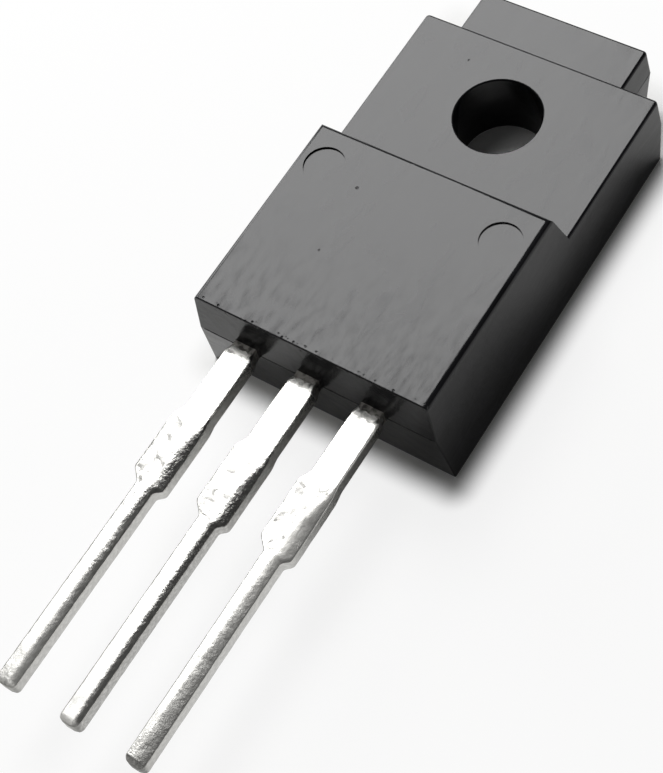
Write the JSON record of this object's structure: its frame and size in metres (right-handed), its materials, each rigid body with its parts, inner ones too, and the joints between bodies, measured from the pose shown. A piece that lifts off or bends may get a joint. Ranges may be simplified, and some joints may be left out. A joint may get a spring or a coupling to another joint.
{
  "type": "power transistor",
  "caption": "Power transistor in a black fully moulded package with a stepped body, mounting hole, end tongue and straight tinned leads.",
  "frame": {"origin": "middle of the mounting hole on the back face, the face that meets a heat sink", "axes": "+Z out of the front face along the mounting hole, +Y from the leads towards the end tongue, +X to the right seen from the front with the tongue up"},
  "size_m": [0.01, 0.0304, 0.0045],
  "materials": {
    "moulding_compound": "satin moulded epoxy",
    "tinned_lead": "bright solder-dipped copper alloy",
    "die_solder": "dull solder",
    "silicon": "polished silicon",
    "bond_wire": "drawn aluminium wire"
  },
  "bodies": {
    "root": {"moulded_body": "moulding_compound", "base_lead": "tinned_lead", "collector_lead_and_pad": "tinned_lead", "emitter_lead": "tinned_lead", "die_solder": "die_solder", "silicon_die": "silicon", "base_bond_wire": "bond_wire", "emitter_bond_wire_1": "bond_wire", "emitter_bond_wire_2": "bond_wire"}
  },
  "joints": []
}
